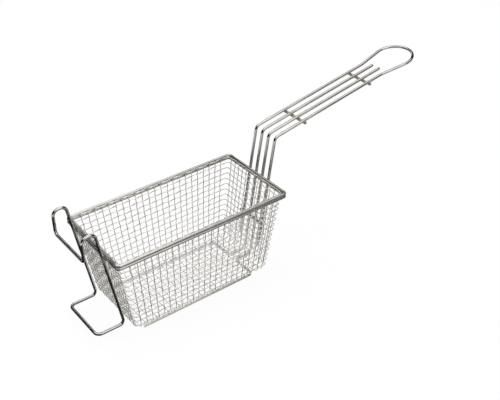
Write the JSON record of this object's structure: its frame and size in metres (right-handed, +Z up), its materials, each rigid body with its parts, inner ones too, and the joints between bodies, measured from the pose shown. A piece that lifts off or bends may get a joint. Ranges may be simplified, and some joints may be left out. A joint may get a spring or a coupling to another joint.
{
  "type": "deep fryer basket",
  "caption": "Rectangular wire cloth fryer basket with tapered sides, a doubled rod rim, a raised wire handle with an end loop, and hang hooks with a bumper at the other end.",
  "frame": {"origin": "on the floor under the middle of the basket body, between the skids it rests on", "axes": "+X from the hooks towards the handle, +Y across the basket, +Z up"},
  "size_m": [0.5505, 0.1264, 0.231],
  "materials": {
    "plated_rod": "bright nickel-plated steel rod",
    "plated_cloth": "bright plated steel wire cloth"
  },
  "bodies": {
    "root": {"upper_rim_rod": "plated_rod", "lower_rim_rod": "plated_rod", "outer_handle_wire": "plated_rod", "near_inner_handle_wire": "plated_rod", "far_inner_handle_wire": "plated_rod", "elbow_bar": "plated_rod", "grip_bar": "plated_rod", "wall_bar": "plated_rod", "hook_wire": "plated_rod", "cross_wires": "plated_cloth", "long_wires": "plated_cloth", "hoop_wires": "plated_cloth"}
  },
  "joints": []
}
